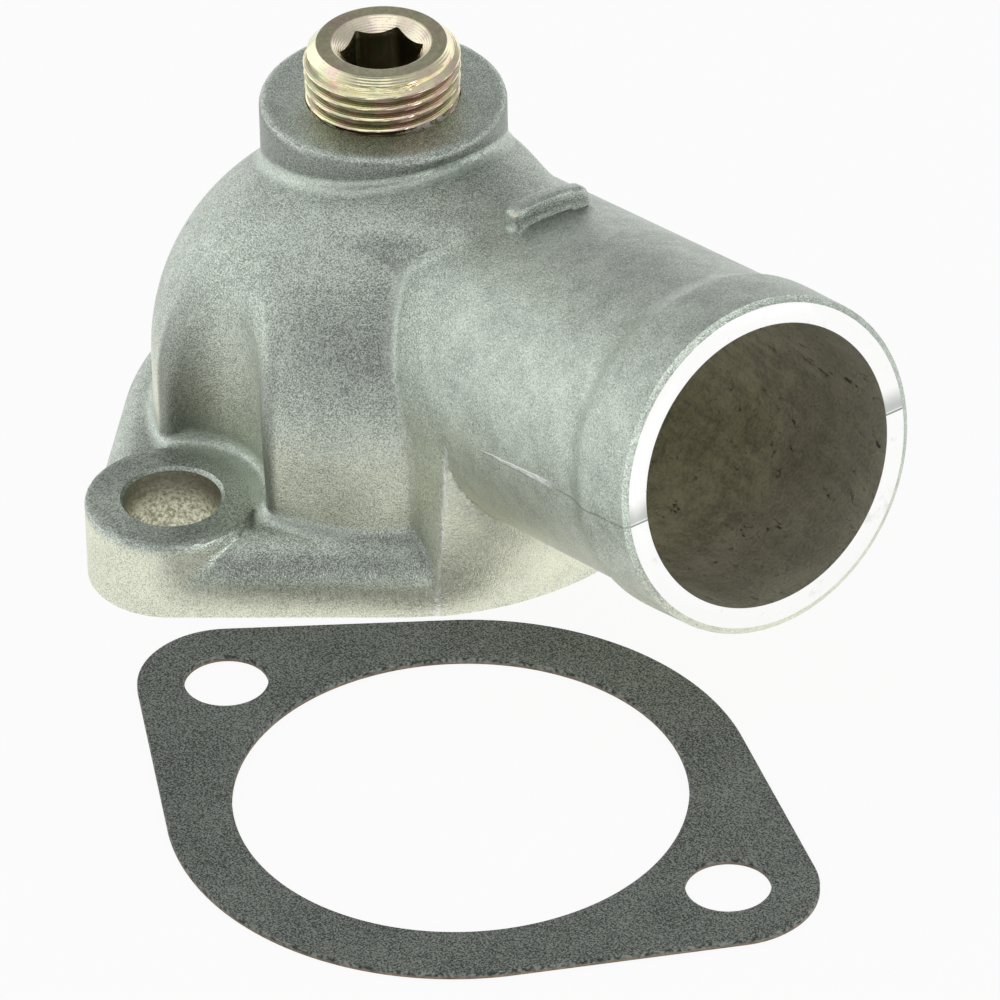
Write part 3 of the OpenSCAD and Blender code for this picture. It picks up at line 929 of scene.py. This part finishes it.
def face_finishes(mesh, sizes):
    """Number of each face's finish: cast, machined, milled, cored or drilled."""
    cast, machined, milled, cored, drilled = range(5)
    count = len(mesh.polygons)
    centre = np.empty(count * 3)
    normal = np.empty(count * 3)
    mesh.polygons.foreach_get("center", centre)
    mesh.polygons.foreach_get("normal", normal)
    centre = centre.reshape(-1, 3)
    x, y, z = centre.T
    level = normal.reshape(-1, 3)[:, 2]
    near = 0.02 * MM
    choice = np.full(count, cast)
    across, up, along = spigot_place(x, y, z, sizes)
    choice[cast_field(centre, sizes) < -0.12 * MM] = cored
    choice[(along > SPIGOT_REACH - 0.4 * MM) & (np.hypot(across, up) > 17.0 * MM)] = cast
    choice[np.abs(along - SPIGOT_REACH) < 0.01 * MM] = machined
    choice[(np.hypot(x, y - sizes.flange_y) < PORT_R + 0.05 * MM) & (z < SEAT_H + near)] = milled
    choice[(z < 0.01 * MM) & (level < -0.9)] = milled
    for side in SIDES:
        away = np.hypot(x - side * sizes.bolt_half, y)
        choice[(away < sizes.bolt_hole_r + sizes.bolt_chamfer + near) & (level > 0.3)] = cast
        choice[(away < sizes.bolt_hole_r + near) & (np.abs(level) < 0.3)] = drilled
    return choice.astype(np.int32)


def skin_layers(points, sizes):
    """How sharp, how hidden and how level the casting's skin is at points."""
    reach = 0.9 * MM
    bend = -6.0 * cast_field(points, sizes)
    for axis in range(3):
        step = np.zeros(3)
        step[axis] = reach
        bend += cast_field(points + step, sizes) + cast_field(points - step, sizes)
    out = field_slope(lambda spots: cast_field(spots, sizes), points, 0.2 * MM)
    out /= np.maximum(np.linalg.norm(out, axis=1), 0.001)[:, None]
    side = np.cross(out, np.where(np.abs(out[:, 2:]) < 0.9, (0.0, 0.0, 1.0), (1.0, 0.0, 0.0)))
    side /= np.maximum(np.linalg.norm(side, axis=1), 0.001)[:, None]
    other = np.cross(out, side)
    hidden = np.zeros(len(points))
    for step in (3.0 * MM, 8.0 * MM):
        for way in (out * 1.4, out + side, out - side, out + other, out - other):
            clear = cast_field(points + way * step * 0.707, sizes)
            hidden += 0.1 * np.clip(1.0 - clear / (step * 0.707), 0.0, 1.0)
    hidden *= np.clip(0.95 + 1.3 * out[:, 2], 0.2, 1.0)
    return {"edge": np.clip(bend / reach, -1.0, 1.0), "recess": hidden, "level": out[:, 2]}


def dress_casting(mesh, sizes, finishes):
    """Gives each face its finish, holds the skin's layers and marks the sharp edges."""
    mesh.materials.clear()
    for finish in finishes:
        mesh.materials.append(finish)
    mesh.polygons.foreach_set("material_index", face_finishes(mesh, sizes))
    points = np.empty(len(mesh.vertices) * 3)
    mesh.vertices.foreach_get("co", points)
    for name, values in skin_layers(points.reshape(-1, 3), sizes).items():
        layer = mesh.attributes.new(name, "FLOAT", "POINT")
        layer.data.foreach_set("value", evened(mesh, values, 3).astype(np.float32))
    mesh.shade_smooth()
    mesh.set_sharp_from_angle(angle=math.radians(38.0))


class HOUSING_OT_casting(bpy.types.Operator):
    """Builds the cast body from its mould shape and cuts its passages and holes"""

    bl_idname = "housing.casting"
    bl_label = "Cast body"

    def execute(self, context):
        settings = context.scene.housing
        sizes = settings.casting
        low = np.array([CASTING_LO[0] - 1.5 * MM, CASTING_LO[1] - 3.0 * MM, -2.4 * MM])
        high = np.array([CASTING_HI[0] + 1.5 * MM, CASTING_HI[1] + 1.5 * MM, CASTING_HI[2] + 1.5 * MM])

        def field(points):
            x, y, z = points.T
            along = spigot_place(x, y, z, sizes)[2]
            ends = np.maximum(-2.0 * MM - z, along - SPIGOT_REACH - 1.5 * MM)
            return np.maximum(cast_field(points, sizes), ends)

        points, quads = skin(field, low, high, sizes.cell)
        body = shown("housing_body", mesh_of("housing_body", points, quads))
        cut_away(body, hollow_tools(sizes))
        if len(body.data.polygons) < 10000:
            raise RuntimeError("the casting lost its skin when it was cut")
        tone = settings.finish
        finishes = [cast_finish(sizes, tone), machined_finish(sizes, tone), milled_finish(tone),
                    cored_finish(sizes, tone), drilled_finish(tone)]
        dress_casting(body.data, sizes, finishes)
        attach(body, "root")
        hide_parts("housing_casting")
        return {"FINISHED"}


def thread_tree():
    """A tapered thread sleeve with a chamfer at both ends, as a node tree with named sizes."""
    tree = bpy.data.node_groups.new("plug_thread", "GeometryNodeTree")
    names = ("Crest radius", "Face radius", "Foot radius", "Height", "Pitch", "Depth", "Taper", "Chamfer")
    for name in names:
        tree.interface.new_socket(name, in_out="INPUT", socket_type="NodeSocketFloat")
    tree.interface.new_socket("Finish", in_out="INPUT", socket_type="NodeSocketMaterial")
    tree.interface.new_socket("Geometry", in_out="OUTPUT", socket_type="NodeSocketGeometry")
    net = Net(tree)
    size = dict(zip((*names, "Finish"), net.node("NodeGroupInput", None, None, None)))
    sleeve = net.node("GeometryNodeMeshGrid", None,
                      {"Size X": 1.0, "Size Y": 1.0, "Vertices X": 97, "Vertices Y": 151}, "Mesh")
    x, y = net.split(net.node("GeometryNodeInputPosition"))[:2]
    around = x + 0.5
    height = (y + 0.5) * size["Height"]
    turn = height / size["Pitch"] - around
    wave = abs(turn.math("FRACT") * 2.0 - 1.0)
    groove = wave.rise(0.03, 0.70)
    below = size["Height"] - height
    crest = size["Crest radius"] - below * size["Taper"]
    radius = crest - groove * size["Depth"]
    slope = (size["Crest radius"] - size["Face radius"]) / size["Chamfer"]
    radius = radius.least(size["Face radius"] + below * slope)
    radius = radius.least(size["Foot radius"] + height)
    swing = around * FULL_TURN
    spot = net.node("ShaderNodeCombineXYZ", None,
                    {0: radius * swing.math("COSINE"), 1: radius * swing.math("SINE"), 2: height})
    moved = net.node("GeometryNodeSetPosition", None, {"Geometry": sleeve, "Position": spot})
    closed = net.node("GeometryNodeMergeByDistance", None, {"Geometry": moved, "Distance": 0.000001})
    real = net.node("GeometryNodeRealizeInstances", None, {"Geometry": closed})
    painted = net.node("GeometryNodeSetMaterial", None,
                       {"Geometry": real, "Material": size["Finish"]})
    net.node("NodeGroupOutput", None, {"Geometry": painted})
    return tree


def thread_sleeve(values, finish):
    """Evaluates the thread tree and gives its mesh."""
    tree = thread_tree()
    maker = shown("plug_sleeve", bpy.data.meshes.new("plug_sleeve"))
    nodes = maker.modifiers.new("thread", "NODES")
    nodes.node_group = tree
    for item in tree.interface.items_tree:
        if item.in_out == "INPUT":
            nodes[item.identifier] = finish if item.name == "Finish" else values[item.name]
    graph = bpy.context.evaluated_depsgraph_get()
    mesh = bpy.data.meshes.new_from_object(maker.evaluated_get(graph))
    maker.modifiers.clear()
    removed(maker)
    return mesh


def plug_head(made, sizes, height):
    """Adds the plug's face, countersink and hexagon socket to its thread sleeve."""
    count = 96
    rings = []

    def ring(radius_of, height_of):
        row = []
        for i in range(count):
            around = FULL_TURN * i / count
            radius = radius_of(around)
            spot = (radius * math.cos(around), radius * math.sin(around), height_of(radius))
            row.append(made.verts.new(spot))
        rings.append(row)

    def hexagon(around):
        return sizes.hex_half / math.cos(((around - sizes.hex_turn) % (math.pi / 3.0)) - math.pi / 6.0)

    def lip(radius):
        return height - (sizes.mouth_r - radius)

    floor = height - sizes.hex_depth
    soft = 0.12 * MM
    ring(lambda around: sizes.face_r, lambda radius: height)
    ring(lambda around: sizes.face_r - soft, lambda radius: height)
    ring(lambda around: sizes.mouth_r + soft, lambda radius: height)
    ring(lambda around: sizes.mouth_r, lambda radius: height - 0.3 * soft)
    ring(hexagon, lip)
    ring(lambda around: hexagon(around) - 0.01 * MM, lambda radius: floor)
    ring(lambda around: 1.2 * MM, lambda radius: floor - 0.4 * MM)
    for outer, inner in zip(rings, rings[1:]):
        for i in range(count):
            j = (i + 1) % count
            made.faces.new((outer[i], outer[j], inner[j], inner[i]))
    made.faces.new(rings[-1])


class HOUSING_OT_plug(bpy.types.Operator):
    """Builds the threaded plug with its hexagon socket"""

    bl_idname = "housing.plug"
    bl_label = "Threaded plug"

    def execute(self, context):
        settings = context.scene.housing
        sizes = settings.plug
        height = PLUG_HI[2] - PLUG_LO[2]
        finish = zinc_finish(settings.casting.boss_top, sizes, settings.finish)
        values = {"Crest radius": PLUG_R, "Face radius": sizes.face_r, "Height": height,
                  "Foot radius": PLUG_R - height * sizes.taper - sizes.depth, "Pitch": sizes.pitch,
                  "Depth": sizes.depth, "Taper": sizes.taper, "Chamfer": sizes.chamfer}
        mesh = thread_sleeve(values, finish)
        made = bmesh.new()
        made.from_mesh(mesh)
        foot = [edge for edge in made.edges if edge.is_boundary and edge.verts[0].co.z < height / 2.0]
        bmesh.ops.holes_fill(made, edges=foot, sides=0)
        plug_head(made, sizes, height)
        bmesh.ops.remove_doubles(made, verts=made.verts, dist=0.000002)
        bmesh.ops.recalc_face_normals(made, faces=made.faces)
        if any(not edge.is_manifold for edge in made.edges):
            raise RuntimeError("the plug is not closed")
        made.to_mesh(mesh)
        made.free()
        mesh.transform(Matrix.Translation((*PLUG_CENTRE, PLUG_LO[2])))
        mesh.materials.clear()
        mesh.materials.append(finish)
        mesh.polygons.foreach_set("material_index", np.zeros(len(mesh.polygons), dtype=np.int32))
        mesh.shade_smooth()
        mesh.set_sharp_from_angle(angle=math.radians(40.0))
        plug = shown("threaded_plug", mesh)
        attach(plug, "root")
        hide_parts("pipe_plug")
        return {"FINISHED"}


def outline_loop(sizes):
    """Points of the two-lobe outline, counter-clockwise."""
    away = math.hypot(sizes.bolt_half, sizes.flange_y)
    half = math.acos((sizes.flange_r - sizes.lobe_r) / away)
    points = []
    for side in (1.0, -1.0):
        middle = math.atan2(-sizes.flange_y, side * sizes.bolt_half) % FULL_TURN
        for i in range(25):
            around = middle - half + 2.0 * half * i / 24
            points.append((side * sizes.bolt_half + sizes.lobe_r * math.cos(around),
                           sizes.lobe_r * math.sin(around)))
        other = math.atan2(-sizes.flange_y, -side * sizes.bolt_half) % FULL_TURN
        start = middle + half
        end = other - half
        if end < start:
            end += FULL_TURN
        for i in range(1, 48):
            around = start + (end - start) * i / 48
            points.append((sizes.flange_r * math.cos(around),
                           sizes.flange_y + sizes.flange_r * math.sin(around)))
    return points


def round_loop(x, y, radius, count):
    """Points of a circle, clockwise, for a hole."""
    steps = [-FULL_TURN * i / count for i in range(count)]
    return [(x + radius * math.cos(around), y + radius * math.sin(around)) for around in steps]


def drawn_in(loop, inset):
    """A loop moved towards the material on its left by a small inset."""
    moved = []
    for i, (x, y) in enumerate(loop):
        before = Vector(loop[i - 1])
        after = Vector(loop[(i + 1) % len(loop)])
        run = (after - before).normalized()
        moved.append((x - run.y * inset, y + run.x * inset))
    return moved


class HOUSING_OT_gasket(bpy.types.Operator):
    """Builds the paper gasket that lies in front of the flange"""

    bl_idname = "housing.gasket"
    bl_label = "Paper gasket"

    def execute(self, context):
        settings = context.scene.housing
        shape = settings.casting
        sizes = settings.gasket
        thick = SHEET_HI[2] - SHEET_LO[2]
        loops = [outline_loop(shape), round_loop(0.0, shape.flange_y, PORT_R, 160)]
        for side in SIDES:
            loops.append(round_loop(side * shape.bolt_half, 0.0, sizes.hole_r, 64))
        soft = sizes.edge
        profile = ((soft, 0.0), (0.0, soft), (0.0, thick - soft), (soft, thick))
        made = bmesh.new()
        rims = {"top": [], "foot": []}
        for loop in loops:
            rows = []
            for inset, height in profile:
                rows.append([made.verts.new((x, y, height)) for x, y in drawn_in(loop, inset)])
            for low, high in zip(rows, rows[1:]):
                for i in range(len(loop)):
                    j = (i + 1) % len(loop)
                    wall = made.faces.new((low[i], low[j], high[j], high[i]))
                    wall.material_index = 1
            for name, row in (("foot", rows[0]), ("top", rows[-1])):
                rims[name] += [made.edges.get((row[i - 1], row[i])) for i in range(len(row))]
        for edges in rims.values():
            filled = bmesh.ops.triangle_fill(made, use_beauty=True, use_dissolve=False, edges=edges)
            if not filled["geom"]:
                raise RuntimeError("the gasket's face did not fill")
        bmesh.ops.recalc_face_normals(made, faces=made.faces)
        mesh = bpy.data.meshes.new("paper_gasket")
        made.to_mesh(mesh)
        made.free()
        spot = Matrix.Translation((SHEET["pos_m"][0], SHEET["pos_m"][1], SHEET_LO[2]))
        mesh.transform(spot @ Matrix.Rotation(sizes.turn, 4, "Z"))
        mesh.materials.append(paper_finish(settings.finish))
        mesh.materials.append(paper_edge_finish(settings.finish))
        mesh.shade_smooth()
        mesh.set_sharp_from_angle(angle=math.radians(30.0))
        gasket = shown("paper_gasket", mesh)
        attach(gasket, "root")
        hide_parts("flange_gasket")
        return {"FINISHED"}


def floor_finish():
    """White sweep that keeps the object's shadow and looks white to the camera and in metal."""
    material = bpy.data.materials.new("white_sweep")
    net = cleared(material)
    lit = net.node("ShaderNodeBsdfDiffuse", None, {"Color": (0.93, 0.93, 0.93, 1.0)})
    glow = net.node("ShaderNodeEmission", None, {"Color": (1.0, 1.0, 1.0, 1.0), "Strength": 1.0})
    seen = net.node("ShaderNodeLightPath", None, None, "Is Camera Ray")
    mirrored = net.node("ShaderNodeLightPath", None, None, "Is Glossy Ray")
    passed = net.node("ShaderNodeLightPath", None, None, "Is Transmission Ray")
    share = seen.most(mirrored).most(passed) * 0.92
    surface = net.node("ShaderNodeMixShader", None, {0: share, 1: lit, 2: glow})
    net.node("ShaderNodeOutputMaterial", None, {"Surface": surface})
    return material


def studio_world(stage):
    """Sweep that is bright round the horizon and dimmer overhead."""
    world = bpy.data.worlds.new("studio")
    net = cleared(world)
    x, y, z = net.split(net.node("ShaderNodeTexCoord", None, None, "Generated"))
    front = (x * -0.707 + y * -0.707).rise(0.35, 0.85)
    height = z.rise(0.06, 0.45)
    glow = stage.horizon + height * (stage.upper - stage.horizon)
    glow = glow + z.rise(0.66, 0.97) * (stage.zenith - stage.upper)
    shade = (x * 0.47 + y * 0.67 + z * 0.57).rise(0.70, 0.97) * 0.15
    glow = glow * (1.0 - front * stage.front) * (1.0 - shade)
    glow = glow + (x * -0.55 + y * 0.68 + z * 0.48).rise(0.60, 0.97) * stage.back
    seen = net.node("ShaderNodeLightPath", None, None, "Is Camera Ray")
    strength = glow + seen * (1.0 - glow)
    light = net.node("ShaderNodeBackground", None, {"Color": (1.0, 1.0, 1.0, 1.0), "Strength": strength})
    net.node("ShaderNodeOutputWorld", None, {"Surface": light})
    return world


def soft_box(name, at, towards, size, power):
    """A square soft box that looks at a point."""
    data = bpy.data.lights.new(name, "AREA")
    data.shape = "SQUARE"
    data.size = size
    data.energy = power
    lamp = bpy.data.objects.new(name, data)
    lamp.location = at
    lamp.rotation_euler = (Vector(towards) - Vector(at)).to_track_quat("-Z", "Y").to_euler()
    bpy.context.scene.collection.objects.link(lamp)


class HOUSING_OT_stage(bpy.types.Operator):
    """Sets the white floor, the soft studio light and the camera"""

    bl_idname = "housing.stage"
    bl_label = "Stage"

    def execute(self, context):
        stage = context.scene.housing.stage
        scene = context.scene
        made = bmesh.new()
        bmesh.ops.create_circle(made, cap_ends=True, segments=96, radius=3.0)
        mesh = bpy.data.meshes.new("floor")
        made.to_mesh(mesh)
        made.free()
        mesh.transform(Matrix.Translation((0.0, 0.0, -0.03 * MM)))
        mesh.materials.append(floor_finish())
        shown("floor", mesh)
        scene.world = studio_world(stage)
        soft_box("key_box", (-0.22, -0.16, 0.9), (0.0, 0.0, 0.02), 0.6, stage.key)
        soft_box("side_box", (-0.55, 0.68, 0.48), (0.0, 0.0, 0.02), 0.7, stage.side)
        soft_box("fill_box", (0.08, -1.05, 0.22), (0.0, -0.05, 0.03), 0.5, stage.fill)
        data = bpy.data.cameras.new("camera")
        data.lens = stage.lens
        data.sensor_width = 36.0
        camera = bpy.data.objects.new("camera", data)
        turn = Matrix.Rotation(-stage.yaw, 4, "Z") @ Matrix.Rotation(math.pi / 2.0 - stage.pitch, 4, "X")
        turn = turn @ Matrix.Rotation(stage.roll, 4, "Z")
        camera.matrix_world = Matrix.Translation(stage.camera_at) @ turn
        scene.collection.objects.link(camera)
        scene.camera = camera
        scene.view_settings.view_transform = "Standard"
        return {"FINISHED"}


class HOUSING_PT_panel(bpy.types.Panel):
    """Lists the pieces and their settings in the sidebar."""

    bl_label = "Thermostat housing"
    bl_idname = "HOUSING_PT_panel"
    bl_space_type = "VIEW_3D"
    bl_region_type = "UI"
    bl_category = "Housing"

    def draw(self, context):
        settings = context.scene.housing
        for operator, group in PIECES:
            self.layout.operator(operator)
            self.list_group(getattr(settings, group))
        self.layout.label(text="Finish")
        self.list_group(settings.finish)

    def list_group(self, group):
        for name in group.__annotations__:
            self.layout.prop(group, name)


PIECES = (("housing.casting", "casting"), ("housing.plug", "plug"), ("housing.gasket", "gasket"),
          ("housing.stage", "stage"))
CLASSES = (CastingSizes, PlugSizes, GasketSizes, FinishColours, StageSettings, HousingSettings,
           HOUSING_OT_casting, HOUSING_OT_plug, HOUSING_OT_gasket, HOUSING_OT_stage, HOUSING_PT_panel)


def register():
    for cls in CLASSES:
        bpy.utils.register_class(cls)
    bpy.types.Scene.housing = PointerProperty(type=HousingSettings)


def unregister():
    del bpy.types.Scene.housing
    for cls in reversed(CLASSES):
        bpy.utils.unregister_class(cls)


def main():
    register()
    bpy.ops.housing.casting()
    bpy.ops.housing.plug()
    bpy.ops.housing.gasket()
    bpy.ops.housing.stage()


if __name__ == "__main__":
    main()
